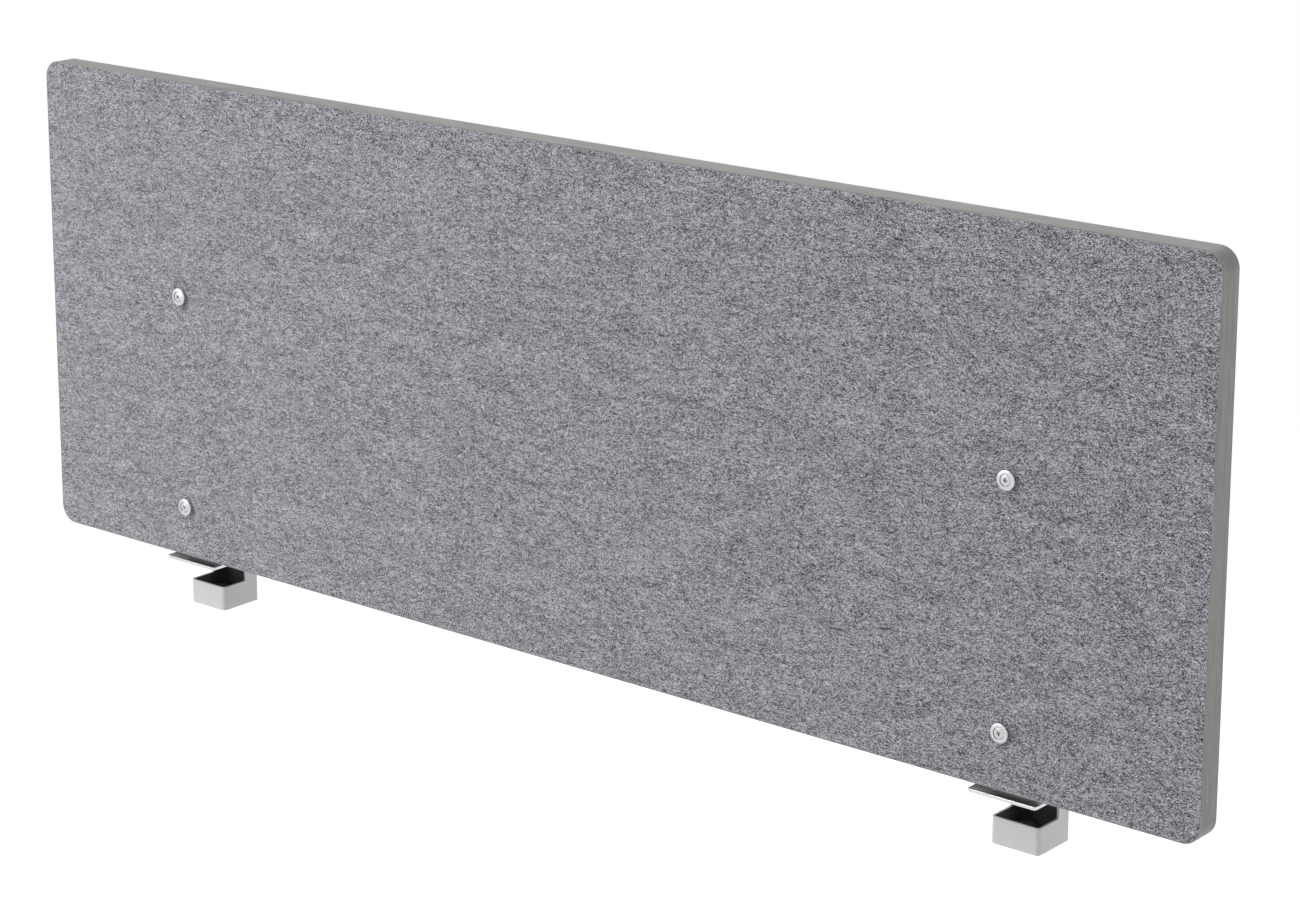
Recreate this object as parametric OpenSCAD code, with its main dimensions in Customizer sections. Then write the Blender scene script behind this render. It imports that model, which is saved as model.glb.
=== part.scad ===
// Acoustic desk screen: a felt faced panel with an edge band, held at the rear edge of a desk by two
// table clamps. Each clamp is a square tube with a slot cut into its front for the desk top. A wide
// plate closes the slot from above, and a disc on a spindle rises out of the box below it.
//
// The origin is the desk's rear top edge at the middle of the screen's width. The desk top's surface
// lies in Z = 0 and its rear edge in Y = 0. The screen's front looks towards -Y.

/* [Panel] */
// Width of the panel
panel_w = 1400; // [1200:10:1800]
// Height of the panel
panel_h = 500; // [360:10:800]
// Thickness of the core board
core_t = 19; // [12:1:30]
// Thickness of each felt facing
felt_t = 3; // [2:0.5:5]
// Radius of the panel's corners
corner_r = 18; // [8:1:60]
// Thickness of the edge band
band_t = 1.2; // [0.8:0.1:3]
// Gap where the two ends of the edge band meet at the bottom
band_joint = 0.4; // [0.2:0.1:1]
// Height of the panel's bottom edge above the jaw plate
panel_lift = 7; // [3:0.5:20]

/* [Clamps] */
// Distance from the panel's end to the middle of a clamp
clamp_inset = 196; // [60:1:300]
// Width of the clamp tube
tube_w = 50; // [44:1:70]
// Depth of the clamp tube
tube_d = 50; // [46:1:70]
// Wall thickness of the clamp tube
tube_wall = 2.5; // [1.5:0.25:3]
// Outer radius of the tube's long edges
tube_r = 4.5; // [3:0.5:5]
// Inner radius of the tube's long edges
tube_inner_r = 2; // [0.5:0.5:3]
// Depth of the part of the tube that stays behind the desk's edge
spine_d = 19; // [14:1:24]
// Height of the closed box under the desk slot
box_h = 25; // [21:1:40]
// Free height of the desk slot under the jaw pad
desk_gap = 25.5; // [18:0.5:45]
// How far the tube stands above the upper screws
tube_rise = 23; // [15:1:60]

/* [Jaw] */
// Width of the jaw plate
jaw_w = 70; // [56:1:110]
// Thickness of the jaw plate
jaw_t = 3; // [2:0.5:5]
// How far the jaw plate reaches forward of the desk's rear edge
jaw_reach = 54; // [46:1:80]
// Radius of the jaw plate's front corners
jaw_r = 3; // [2:0.5:14]
// Thickness of the soft pad under the jaw
jaw_pad_t = 1.5; // [1:0.5:4]
// Margin between the pad's edge and the jaw plate's edge
jaw_pad_inset = 5; // [4:1:8]

/* [Clamp spindle] */
// Diameter of the spindle
spindle_d = 8; // [6:1:10]
// Rise of the spindle for each turn
thread_pitch = 1.25; // [1:0.25:2]
// Full turns from the lowest to the highest place
spindle_turns = 10; // [6:1:12]
// Diameter of the pressure disc
disc_d = 24; // [18:1:26]
// Thickness of the pressure disc
disc_t = 2.5; // [2:0.5:4]
// Thickness of the disc's rubber facing
facing_t = 2; // [1:0.5:3]
// Gap between the disc and the tube's front wall
disc_margin = 2.5; // [1:0.5:4]
// Height of the threaded bush
bush_h = 12; // [10:0.5:14]
// Length of thread that the raised spindle keeps in the bush
thread_hold = 5.5; // [4:0.5:8]

/* [Screws] */
// Diameter of the panel screws
screw_d = 5; // [4:0.5:6]
// Diameter of a screw's head
screw_head_d = 9.6; // [8:0.2:10.4]
// Length of a screw with its head
screw_l = 40; // [38:1:44]
// Height of the lower screws above the panel's bottom edge
screw_low = 53; // [30:1:90]
// Distance between the lower and the upper screws
screw_pitch = 224; // [120:2:290]
// Diameter of a finishing washer
washer_d = 18; // [15:0.5:24]
// Height of a finishing washer
washer_h = 5; // [4:0.25:8]
// Thickness of a finishing washer's rim
washer_rim_t = 2; // [1.4:0.2:3]

/* [Hidden] */

// Fineness of round shapes
$fn = 64;
// How far a cut runs past what it cuts
over = 1;
// Gap between two pieces that are fitted by hand
fit_gap = 0.25;
// Gap all round a shaft that turns in a bore
run_gap = 0.05;
// Gap all round a piece that is pushed into its hole
seat_gap = 0.1;
// Least free space between a lowered disc and the bush under it
rest_gap = 0.5;

// Colours, as red, green and blue
felt_colour = [0.53, 0.53, 0.55];
band_colour = [0.55, 0.55, 0.55];
core_colour = [0.36, 0.36, 0.35];
steel_colour = [0.82, 0.83, 0.84];
bright_colour = [0.93, 0.93, 0.94];
zinc_colour = [0.70, 0.71, 0.72];
rubber_colour = [0.10, 0.10, 0.10];

// The panel stands over the desk with its back against the tubes
clamp_x = panel_w / 2 - clamp_inset;
panel_d = core_t + 2 * felt_t;
tube_front_y = spine_d - tube_d;
panel_back_y = tube_front_y;
panel_front_y = panel_back_y - panel_d;
jaw_z = jaw_pad_t;
jaw_top_z = jaw_z + jaw_t;
panel_z = jaw_top_z + panel_lift;

// Heights of the tube
rim_z = -desk_gap;
tube_z = rim_z - box_h;
low_screw_z = panel_z + screw_low;
high_screw_z = low_screw_z + screw_pitch;
tube_top_z = high_screw_z + tube_rise;
tube_h = tube_top_z - tube_z;

// Inside of the tube
inner_w = tube_w - 2 * tube_wall;
inner_d = tube_d - 2 * tube_wall;
tube_mid_y = tube_front_y + tube_d / 2;

// Plate and bush that close the box
floor_t = 3;
bush_wall = 3;
bush_d = spindle_d + 2 * bush_wall;
bush_collar = 2.5;
bush_collar_t = 2;
bush_top_z = tube_z + bush_h;

// Spindle and disc, lowered
spindle_y = tube_front_y + tube_wall + disc_margin + disc_d / 2;
disc_rise = thread_pitch * spindle_turns;
disc_z = bush_top_z + rest_gap;
disc_top_z = disc_z + disc_t;
disc_edge = 0.4;
neck_step = 1.5;
neck_d = spindle_d - 2 * neck_step;
neck_gap = 0.1;
rivet_head_t = 1.2;
facing_hole_gap = 1.5;
spindle_z = bush_top_z - thread_hold - disc_rise;
tip_chamfer = 0.8;
socket_af = 4;
socket_depth = 5;

// Screws, sleeves and nuts
sleeve_gap = 0.3;
sleeve_wall = 2.2;
sleeve_bore_d = screw_d + 2 * sleeve_gap;
sleeve_d = sleeve_bore_d + 2 * sleeve_wall;
nut_wall = 1;
nut_d = screw_d + 2 * nut_wall;
nut_head_t = 0.6;
nut_bulge = 1.3;
nut_bulge_l = 3;
nut_l = 13;
washer_hub_step = 1;
washer_hub_d = sleeve_d + 2 * washer_hub_step;
washer_edge = 0.5;
washer_dome = 0.6;
washer_dome_w = 2.2;
washer_y = panel_front_y - washer_h;
head_sink = 0.5;
screw_gap = 0.15;
recess_w = 4.4;
recess_slot = 1.1;
recess_depth = 1.8;

// Cap on the tube's top
cap_t = 2;
cap_plug_h = 11;
cap_plug_wall = 2;
cap_edge = 1;

// A flat outline of a rectangle with round corners, centred
module round_rect(w, h, r) {
    square([w - 2 * r, h], center = true);
    square([w, h - 2 * r], center = true);
    for (sx = [-1, 1], sy = [-1, 1])
        translate([sx * (w / 2 - r), sy * (h / 2 - r)])
            circle(r);
}

// An outline of the panel's front, drawn standing, and made thick towards +Y
module upright(y, thick) {
    translate([0, y + thick, 0])
        rotate([90, 0, 0])
            linear_extrude(thick)
                children();
}

// Places its children at each of the four screws, with +Z of the child towards +Y
module at_screws(y) {
    for (sx = [-1, 1], z = [low_screw_z, high_screw_z])
        translate([sx * clamp_x, y, z])
            rotate([-90, 0, 0])
                children();
}

// A sheet of the panel inside the edge band, with holes for the four sleeves
module panel_sheet(y, thick) {
    difference() {
        upright(y, thick)
            translate([0, panel_z + panel_h / 2])
                round_rect(panel_w - 2 * band_t, panel_h - 2 * band_t, corner_r - band_t);
        at_screws(y - over)
            cylinder(d = sleeve_d + 2 * seat_gap, h = thick + 2 * over);
    }
}

// Stiff absorber board in the middle of the panel
module core_board() {
    color(core_colour)
        panel_sheet(panel_front_y + felt_t, core_t);
}

// Felt facing that the user of the desk looks at
module front_felt() {
    color(felt_colour)
        panel_sheet(panel_front_y, felt_t);
}

// Felt facing towards the clamp tubes
module back_felt() {
    color(felt_colour)
        panel_sheet(panel_back_y - felt_t, felt_t);
}

// Band glued round the rim, with a butt joint in the middle of the bottom
module edge_band() {
    color(band_colour)
        difference() {
            upright(panel_front_y, panel_d)
                translate([0, panel_z + panel_h / 2])
                    difference() {
                        round_rect(panel_w, panel_h, corner_r);
                        round_rect(panel_w - 2 * band_t, panel_h - 2 * band_t, corner_r - band_t);
                    }
            translate([-band_joint / 2, panel_front_y - over, panel_z - over])
                cube([band_joint, panel_d + 2 * over, band_t + 2 * over]);
        }
}

// Tubes through the panel that take the pull of the screws
module panel_sleeves() {
    color(zinc_colour)
        at_screws(panel_front_y)
            difference() {
                cylinder(d = sleeve_d, h = panel_d - nut_head_t);
                translate([0, 0, -over])
                    cylinder(d = sleeve_bore_d, h = panel_d + 2 * over);
            }
}

// Turned washers: a slightly domed rim that stands off the felt on a hub, with a seat for a countersunk
// head
module finishing_washers() {
    hole_d = screw_d + 2 * screw_gap;
    seat_d = screw_head_d + 2 * head_sink;
    seat_h = (seat_d - hole_d) / 2;
    color(bright_colour)
        at_screws(washer_y)
            rotate_extrude()
                polygon([
                    [seat_d / 2, 0],
                    [washer_d / 2 - washer_dome_w, 0],
                    [washer_d / 2 - washer_edge, washer_dome],
                    [washer_d / 2, washer_dome + washer_edge],
                    [washer_d / 2, washer_rim_t - washer_edge / 2],
                    [washer_d / 2 - washer_edge / 2, washer_rim_t],
                    [washer_hub_d / 2, washer_rim_t],
                    [washer_hub_d / 2, washer_h],
                    [hole_d / 2, washer_h],
                    [hole_d / 2, seat_h]
                ]);
}

// Countersunk screws with a cross recess
module panel_screws() {
    head_h = (screw_head_d - screw_d) / 2;
    color(bright_colour)
        at_screws(washer_y + head_sink)
            difference() {
                rotate_extrude()
                    polygon([
                        [0, 0],
                        [screw_head_d / 2, 0],
                        [screw_d / 2, head_h],
                        [screw_d / 2, screw_l - tip_chamfer],
                        [screw_d / 2 - tip_chamfer, screw_l],
                        [0, screw_l]
                    ]);
                for (turn = [0, 90])
                    rotate([0, 0, turn])
                        translate([-recess_w / 2, -recess_slot / 2, -over])
                            cube([recess_w, recess_slot, recess_depth + over]);
            }
}

// Threaded inserts in the tube's front wall, with a thin head and a bulge behind the wall
module rivet_nuts() {
    head_h = nut_head_t;
    wall_h = head_h + tube_wall;
    color(zinc_colour)
        at_screws(panel_back_y - nut_head_t)
            rotate_extrude()
                polygon([
                    [screw_d / 2 + run_gap, 0],
                    [sleeve_d / 2, 0],
                    [sleeve_d / 2, head_h],
                    [nut_d / 2, head_h],
                    [nut_d / 2, wall_h],
                    [nut_d / 2 + nut_bulge, wall_h],
                    [nut_d / 2 + nut_bulge, wall_h + nut_bulge_l / 2],
                    [nut_d / 2, wall_h + nut_bulge_l],
                    [nut_d / 2, nut_l],
                    [screw_d / 2 + run_gap, nut_l]
                ]);
}

// Places its children at one clamp: side is -1 on the left and 1 on the right
module at_clamp(side) {
    translate([side * clamp_x, 0, 0])
        children();
}

// Square tube with the desk slot, and holes for the two inserts
module bracket_tube(side) {
    color(steel_colour)
        difference() {
            at_clamp(side)
                translate([0, tube_mid_y, tube_z])
                    linear_extrude(tube_h)
                        difference() {
                            round_rect(tube_w, tube_d, tube_r);
                            round_rect(inner_w, inner_d, tube_inner_r);
                        }
            at_clamp(side)
                translate([-tube_w / 2 - over, tube_front_y - over, rim_z])
                    cube([tube_w + 2 * over, over - tube_front_y, jaw_top_z - rim_z]);
            at_screws(tube_front_y - over)
                cylinder(d = nut_d + 2 * seat_gap, h = tube_wall + 2 * over);
        }
}

// Plug for the tube's top: a lid with a bevelled edge over a hollow plug
module tube_cap(side) {
    lid_r = tube_r - cap_edge;
    plug_w = inner_w - 2 * fit_gap;
    plug_d = inner_d - 2 * fit_gap;
    color(rubber_colour)
        at_clamp(side)
            translate([0, tube_mid_y, tube_top_z]) {
                linear_extrude(cap_t - cap_edge)
                    round_rect(tube_w, tube_d, tube_r);
                translate([0, 0, cap_t - cap_edge])
                    linear_extrude(cap_edge)
                        round_rect(tube_w - 2 * cap_edge, tube_d - 2 * cap_edge, lid_r);
                translate([0, 0, -cap_plug_h])
                    linear_extrude(cap_plug_h)
                        difference() {
                            round_rect(plug_w, plug_d, tube_inner_r);
                            square([plug_w - 2 * cap_plug_wall, plug_d - 2 * cap_plug_wall], center = true);
                        }
            }
}

// Fixed jaw: a plate with round front corners, and a tongue that runs into the tube's back. The tongue's
// outline starts inside the plate, so only its rear corners show.
module jaw_plate(side) {
    tongue_w = inner_w - 2 * fit_gap;
    tongue_d = spine_d - tube_wall - fit_gap;
    color(bright_colour)
        at_clamp(side)
            translate([0, 0, jaw_z])
                linear_extrude(jaw_t) {
                    translate([-jaw_w / 2, jaw_r - jaw_reach])
                        square([jaw_w, jaw_reach - jaw_r]);
                    translate([jaw_r - jaw_w / 2, -jaw_reach])
                        square([jaw_w - 2 * jaw_r, jaw_reach]);
                    for (sx = [-1, 1])
                        translate([sx * (jaw_w / 2 - jaw_r), jaw_r - jaw_reach])
                            circle(jaw_r);
                    translate([0, (tongue_d - jaw_r) / 2])
                        round_rect(tongue_w, tongue_d + jaw_r, tube_inner_r);
                }
}

// Soft pad under the jaw that lies on the desk
module jaw_pad(side) {
    pad_w = jaw_w - 2 * jaw_pad_inset;
    pad_l = jaw_reach - 2 * jaw_pad_inset;
    color(rubber_colour)
        at_clamp(side)
            translate([0, -jaw_reach / 2, 0])
                linear_extrude(jaw_pad_t)
                    round_rect(pad_w, pad_l, jaw_r);
}

// Plate welded into the tube's lower end
module floor_plate(side) {
    color(steel_colour)
        difference() {
            at_clamp(side)
                translate([0, tube_mid_y, tube_z])
                    linear_extrude(floor_t)
                        round_rect(inner_w, inner_d, tube_inner_r);
            at_clamp(side)
                translate([0, spindle_y, tube_z - over])
                    cylinder(d = bush_d + 2 * seat_gap, h = floor_t + 2 * over);
        }
}

// Bush in the floor plate, with a collar on the plate
module threaded_bush(side) {
    color(zinc_colour)
        at_clamp(side)
            translate([0, spindle_y, tube_z])
                rotate_extrude()
                    polygon([
                        [spindle_d / 2 + run_gap, 0],
                        [bush_d / 2, 0],
                        [bush_d / 2, floor_t],
                        [bush_d / 2 + bush_collar, floor_t],
                        [bush_d / 2 + bush_collar, floor_t + bush_collar_t],
                        [bush_d / 2, floor_t + bush_collar_t],
                        [bush_d / 2, bush_h],
                        [spindle_d / 2 + run_gap, bush_h]
                    ]);
}

// Spindle with a six sided socket from below, and a neck riveted through the disc
module clamp_spindle(side) {
    shoulder_h = disc_z - neck_gap - spindle_z;
    head_z = disc_top_z + neck_gap - spindle_z;
    socket_d = socket_af / cos(30);
    color(zinc_colour)
        at_clamp(side)
            translate([0, spindle_y, spindle_z])
                difference() {
                    rotate_extrude()
                        polygon([
                            [0, 0],
                            [spindle_d / 2 - tip_chamfer, 0],
                            [spindle_d / 2, tip_chamfer],
                            [spindle_d / 2, shoulder_h],
                            [neck_d / 2, shoulder_h],
                            [neck_d / 2, head_z],
                            [spindle_d / 2, head_z],
                            [spindle_d / 2, head_z + rivet_head_t / 2],
                            [neck_d / 2, head_z + rivet_head_t],
                            [0, head_z + rivet_head_t]
                        ]);
                    translate([0, 0, -over])
                        cylinder(d = socket_d, h = socket_depth + over, $fn = 6);
                }
}

// Steel disc that swivels on the spindle's neck
module pressure_disc(side) {
    color(zinc_colour)
        at_clamp(side)
            translate([0, spindle_y, disc_z])
                rotate_extrude()
                    polygon([
                        [neck_d / 2 + run_gap, 0],
                        [disc_d / 2 - disc_edge, 0],
                        [disc_d / 2, disc_edge],
                        [disc_d / 2, disc_t - disc_edge],
                        [disc_d / 2 - disc_edge, disc_t],
                        [neck_d / 2 + run_gap, disc_t]
                    ]);
}

// Rubber ring on the disc that presses on the desk from below
module disc_facing(side) {
    color(rubber_colour)
        at_clamp(side)
            translate([0, spindle_y, disc_top_z])
                difference() {
                    cylinder(d = disc_d, h = facing_t);
                    translate([0, 0, -over])
                        cylinder(d = spindle_d + 2 * facing_hole_gap, h = facing_t + 2 * over);
                }
}

core_board();
front_felt();
back_felt();
edge_band();
panel_sleeves();
finishing_washers();
panel_screws();
rivet_nuts();
bracket_tube(-1);  // bracket_tube_left
tube_cap(-1);  // tube_cap_left
jaw_plate(-1);  // jaw_plate_left
jaw_pad(-1);  // jaw_pad_left
floor_plate(-1);  // floor_plate_left
threaded_bush(-1);  // threaded_bush_left
clamp_spindle(-1);  // clamp_spindle_left
pressure_disc(-1);  // pressure_disc_left
disc_facing(-1);  // disc_facing_left
bracket_tube(1);  // bracket_tube_right
tube_cap(1);  // tube_cap_right
jaw_plate(1);  // jaw_plate_right
jaw_pad(1);  // jaw_pad_right
floor_plate(1);  // floor_plate_right
threaded_bush(1);  // threaded_bush_right
clamp_spindle(1);  // clamp_spindle_right
pressure_disc(1);  // pressure_disc_right
disc_facing(1);  // disc_facing_right
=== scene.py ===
import math

import bmesh
import bpy
from bpy.props import FloatProperty, FloatVectorProperty, IntProperty, PointerProperty
from mathutils import Matrix, Vector, noise


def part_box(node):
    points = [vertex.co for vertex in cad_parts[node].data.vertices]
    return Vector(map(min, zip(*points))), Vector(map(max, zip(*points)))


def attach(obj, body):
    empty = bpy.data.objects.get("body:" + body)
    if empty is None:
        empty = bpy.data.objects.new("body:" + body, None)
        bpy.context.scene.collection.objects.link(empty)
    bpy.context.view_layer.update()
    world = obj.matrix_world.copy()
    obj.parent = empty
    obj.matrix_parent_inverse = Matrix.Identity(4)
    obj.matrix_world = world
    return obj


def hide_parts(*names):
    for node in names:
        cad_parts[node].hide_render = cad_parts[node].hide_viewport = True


bl_info = {
    "name": "Felt desk screen with two table clamps",
    "version": (1, 0, 0),
    "blender": (4, 5, 0),
    "location": "3D View > Sidebar > Desk Screen",
    "description": "Builds the felt panel, its edge band, screws and slotted tube clamps, and a pale studio",
    "category": "Object",
}

# The packed model, its box, and where its pieces are
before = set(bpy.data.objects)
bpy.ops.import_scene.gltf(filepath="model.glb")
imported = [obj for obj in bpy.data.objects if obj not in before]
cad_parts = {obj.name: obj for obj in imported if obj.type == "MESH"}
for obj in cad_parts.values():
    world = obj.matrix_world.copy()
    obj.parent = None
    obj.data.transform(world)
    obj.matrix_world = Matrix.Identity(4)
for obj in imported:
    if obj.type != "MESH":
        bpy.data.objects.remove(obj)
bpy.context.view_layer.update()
MM = 0.001
SIDES = ("left", "right")
FULL_TURN = 2 * math.pi
# Closer than this, two places are the same, and two points become one
NEAR = 1e-6
WELD = 1e-7
# Turns a flat plan upright, with its top towards the viewer
UPRIGHT = Matrix.Rotation(math.radians(90), 4, "X")
# Gap between pieces that are fitted by hand, as in the CAD
FIT_GAP = 0.25 * MM
# Half the side of the square that is cut round a hole in the tube's front wall
HOLE_FIELD = 8 * MM
HOLE_FACETS = 32
# From a screw head's edge to the middle of the groove round it, in millimetres
GROOVE_STEP = 0.25
WHITE = (1.0, 1.0, 1.0, 1.0)
# What the lamps look at
LAMP_AIM = Vector((0, 0, 0.2))


def srgb(red, green, blue):
    """A colour as it shows on screen, 0 to 255, turned into the linear values that Blender works with."""
    values = []
    for value in (red, green, blue):
        share = value / 255
        values.append(share / 12.92 if share <= 0.04045 else ((share + 0.055) / 1.055) ** 2.4)
    return tuple(values)


def length(name, description, default, low=0.0, high=1.0):
    """A length in metres that the user can change."""
    return FloatProperty(
        name=name, description=description, default=default, min=low, max=high,
        precision=5, unit="LENGTH", subtype="DISTANCE",
    )


def colour(name, description, default):
    """A colour that the user can change."""
    return FloatVectorProperty(
        name=name, description=description, default=default, min=0.0, max=1.0, size=3, subtype="COLOR",
    )


def watts(name, description, default):
    """The power of a lamp."""
    return FloatProperty(name=name, description=description, default=default, min=0.0, subtype="POWER")


class DeskScreenPanelSizes(bpy.types.PropertyGroup):
    """Sizes of the felt panel, its band and its screws."""

    corner: length("Panel corner", "Radius of the panel's corners", 18 * MM)
    felt_rim: length("Felt rim", "Radius of the felt's cut edge", 0.7 * MM)
    felt_cell: length("Felt mesh", "Distance between the felt's mesh lines", 7 * MM)
    felt_relief: length("Felt relief", "Depth of the felt's soft unevenness", 0.22 * MM)
    dent: length("Dent", "How deep a washer's hub presses into the felt", 0.5 * MM)
    band: length("Edge band", "Thickness of the edge band", 1.2 * MM)
    band_joint: length("Band joint", "Gap between the two ends of the edge band", 0.4 * MM)
    band_edge: length("Band edge", "Radius of the edge band's long edges", 0.25 * MM)
    sleeve: length("Sleeve hole", "Diameter of the felt's holes for the sleeves", 10.2 * MM)
    screw_head: length("Screw head", "Diameter of a panel screw's head", 9.6 * MM)


class DeskScreenClampSizes(bpy.types.PropertyGroup):
    """Sizes of the clamps."""

    wall: length("Tube wall", "Wall thickness of the clamp tube", 2.5 * MM)
    box: length("Lower box", "Height of the box under the desk slot", 25 * MM)
    outer_radius: length("Tube corner", "Outer radius of the tube's long edges", 4.5 * MM)
    inner_radius: length("Inner corner", "Inner radius of the tube's long edges", 2 * MM)
    jaw_corner: length("Jaw corner", "Radius of the jaw plate's front corners", 3 * MM)
    edge: length("Coated edge", "Radius of the coated steel's cut edges", 0.4 * MM)
    nut_hole: length("Insert hole", "Diameter of the holes for the threaded inserts", 7.2 * MM)
    bush_hole: length("Bush hole", "Diameter of the floor plate's hole", 14.2 * MM)
    pitch: length("Thread pitch", "Rise of the spindle for each turn", 1.25 * MM)
    facets: IntProperty(name="Turned facets", description="Facets round a turned piece", default=64, min=16)


class DeskScreenColours(bpy.types.PropertyGroup):
    """Colours of the finishes."""

    felt_dark: colour("Felt dark", "Dark fibres of the melange felt", srgb(22, 22, 26))
    felt_mid: colour("Felt middle", "Middle fibres of the melange felt", srgb(129, 130, 136))
    felt_light: colour("Felt light", "Light fibres of the melange felt", srgb(208, 209, 217))
    band: colour("Edge band", "Smooth band round the panel", srgb(149, 149, 148))
    core: colour("Core", "Pressed fibre board", srgb(122, 122, 119))
    tube: colour("Clamp", "Powder coat of the clamp tubes", srgb(216, 217, 218))
    # Painted shade: a darker colour for the inside of the clamp tubes, standing in for the shade there
    tube_inside_shade: colour("Clamp inside", "Inside of the clamp tubes", srgb(94, 94, 95))
    jaw: colour("Jaw", "Bright plate of the jaw plates", srgb(223, 224, 227))
    bright: colour("Bright steel", "Washers and screws", srgb(212, 212, 214))
    zinc: colour("Zinc", "Zinc plated steel", srgb(205, 206, 208))
    rubber: colour("Rubber", "Pads and facings", srgb(44, 44, 45))
    plastic: colour("Plastic", "Caps of the clamp tubes", srgb(52, 52, 54))
    floor: colour("Floor", "Pale studio floor", srgb(232, 232, 232))


class DeskScreenStudio(bpy.types.PropertyGroup):
    """Light and floor of the studio."""

    drop: length("Floor below", "Height of the desk's surface above the floor", 0.74, 0.1, 2.0)
    surround: FloatProperty(name="Surround", description="Light of the white room", default=0.31, min=0.0)
    key: watts("Key", "Large soft lamp in front, on the left", 212.0)
    side: watts("Side", "Soft lamp on the right", 15.0)
    low: watts("Low", "Small lamp near the floor on the left", 5.0)
    rear: watts("Rear", "Soft lamp above and behind the screen", 42.0)


def panel_sizes():
    """The panel's sizes as the user has set them."""
    return bpy.context.scene.desk_screen_panel


def clamp_sizes():
    """The clamps' sizes as the user has set them."""
    return bpy.context.scene.desk_screen_clamps


def colours():
    """The colours as the user has set them."""
    return bpy.context.scene.desk_screen_colours


def node_box(name):
    """The centre, lowest and highest corner of a CAD node."""
    low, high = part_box(name)
    return (low + high) / 2, low, high


def groove_radius():
    """Radius of the groove between a screw's head and its washer, in millimetres."""
    return panel_sizes().screw_head / 2 / MM + GROOVE_STEP


def screw_places():
    """Where the four panel screws are, as pairs of X and Z."""
    _, low, high = node_box("panel_screws")
    head = panel_sizes().screw_head / 2
    return [(x, z) for x in (low.x + head, high.x - head) for z in (low.z + head, high.z - head)]


# Mesh tools

def middle(face):
    """The middle of a face."""
    return face.calc_center_median()


def points_of(made):
    """The points among what an operation made."""
    return [item for item in made["geom"] if isinstance(item, bmesh.types.BMVert)]


def in_order(items):
    """The items in the order in which they come, each once. A set's order could differ from run to run."""
    return list(dict.fromkeys(items))


def edges_of(faces):
    """The edges of some faces."""
    return in_order(edge for face in faces for edge in face.edges)


def move(bm, vec):
    """Moves the whole mesh."""
    bmesh.ops.translate(bm, verts=bm.verts, vec=vec)


def face_out(bm):
    """Makes all faces point outwards."""
    bmesh.ops.recalc_face_normals(bm, faces=bm.faces)


def turned(bm, profile, closed=True):
    """Spins a profile of (radius, height) in millimetres round the Z axis."""
    points = [bm.verts.new((radius * MM, 0, height * MM)) for radius, height in profile]
    pairs = list(zip(points, points[1:]))
    if closed:
        pairs.append((points[-1], points[0]))
    edges = [bm.edges.new(pair) for pair in pairs]
    bmesh.ops.spin(
        bm, geom=points + edges, cent=(0, 0, 0), axis=(0, 0, 1), dvec=(0, 0, 0),
        angle=FULL_TURN, steps=clamp_sizes().facets, use_merge=True, use_duplicate=False,
    )
    bmesh.ops.remove_doubles(bm, verts=bm.verts, dist=WELD)


def finish_turned(bm):
    """Ends a turned mesh. Stores each point's distance from the Z axis, in millimetres, for the turning
    marks and for the painted shade in the groove round a screw's head.
    """
    face_out(bm)
    layer = bm.verts.layers.float.new("turn_radius")
    for vert in bm.verts:
        vert[layer] = vert.co.xy.length / MM
    return layer


def plan(bm, corners, radii, segments):
    """A flat face in the XY plane from its corners, each rounded by its own radius."""
    verts = [bm.verts.new((x, y, 0)) for x, y in corners]
    bm.faces.new(verts)
    bm.normal_update()
    for vert, radius in zip(verts, radii):
        if radius > 0:
            soften(bm, [vert], radius, segments, "VERTICES")


def box_plan(bm, low, high, radius, segments):
    """A flat rectangle with round corners, from its lowest and highest corner, whose heights don't count."""
    corners = [(low[0], low[1]), (high[0], low[1]), (high[0], high[1]), (low[0], high[1])]
    plan(bm, corners, [radius] * 4, segments)


def stand(bm, y, way=1):
    """Turns a flat solid upright, with its top towards the viewer or away, and moves its base to a depth."""
    bmesh.ops.rotate(bm, verts=bm.verts, cent=(0, 0, 0), matrix=UPRIGHT.to_3x3())
    bmesh.ops.scale(bm, verts=bm.verts, vec=(1, way, 1))
    move(bm, (0, y, 0))


def thicken(bm, height, base=0):
    """Makes a flat plan a solid by lifting a copy of its faces, and moves it up to its base."""
    lifted = bmesh.ops.extrude_face_region(bm, geom=bm.faces[:], use_keep_orig=True)
    bmesh.ops.translate(bm, verts=points_of(lifted), vec=(0, 0, height))
    face_out(bm)
    move(bm, (0, 0, base))


def keep_rim(bm, width):
    """Leaves only the rim of a flat plan."""
    rim = bmesh.ops.inset_region(
        bm, faces=bm.faces[:], thickness=width, use_even_offset=True, use_boundary=True,
    )
    inside = [face for face in bm.faces if face not in rim["faces"]]
    bmesh.ops.delete(bm, geom=inside, context="FACES")


def cut(bm, point, normal, faces=None, outer=False, inner=False):
    """Cuts the mesh with a plane and can drop one side of it."""
    faces = bm.faces[:] if faces is None else faces
    verts = in_order(vert for face in faces for vert in face.verts)
    bmesh.ops.bisect_plane(
        bm, geom=verts + edges_of(faces) + faces, dist=WELD,
        plane_co=point, plane_no=normal, clear_outer=outer, clear_inner=inner,
    )


def sharp_edges(bm, degrees, wanted=lambda edge: True):
    """Edges where two faces meet at more than an angle."""
    limit = math.radians(degrees)
    return [
        edge for edge in bm.edges
        if edge.is_manifold and edge.calc_face_angle(0) > limit and wanted(edge)
    ]


def open_edges(bm):
    """Edges with a face on one side only."""
    return [edge for edge in bm.edges if edge.is_boundary]


def soften(bm, geom, radius, segments, affect="EDGES"):
    """Rounds edges, or the corners of a flat plan."""
    bmesh.ops.bevel(
        bm, geom=geom, offset=radius, offset_type="OFFSET", affect=affect,
        segments=segments, profile=0.5, material=-1, clamp_overlap=affect == "EDGES",
    )


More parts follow.
